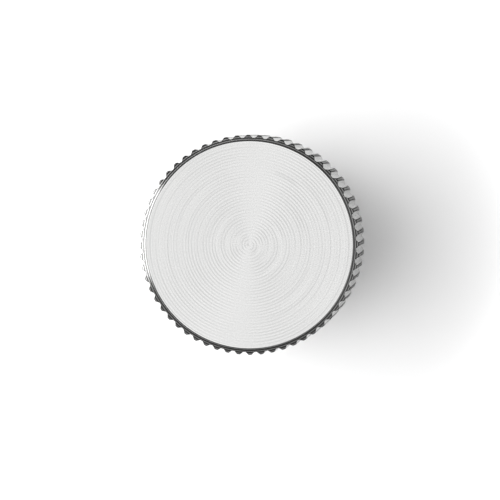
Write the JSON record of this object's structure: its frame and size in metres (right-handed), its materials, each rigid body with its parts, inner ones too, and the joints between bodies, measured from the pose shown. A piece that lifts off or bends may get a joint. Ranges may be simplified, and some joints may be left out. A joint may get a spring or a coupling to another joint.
{
  "type": "cabinet knob",
  "caption": "Round metal cabinet knob with a flat turned face, a straight-knurled rim and a narrower neck with a tapped fixing hole.",
  "frame": {"origin": "centre of the foot, on the face that stands on the door", "axes": "+Z along the knob's axis, out of the door towards the face; +X towards the crest of one ridge"},
  "size_m": [0.03, 0.03, 0.026],
  "materials": {
    "knob": "satin stainless steel, with fine turning rings on the face and a straight-knurled rim"
  },
  "bodies": {
    "root": {"knob": "knob"}
  },
  "joints": []
}
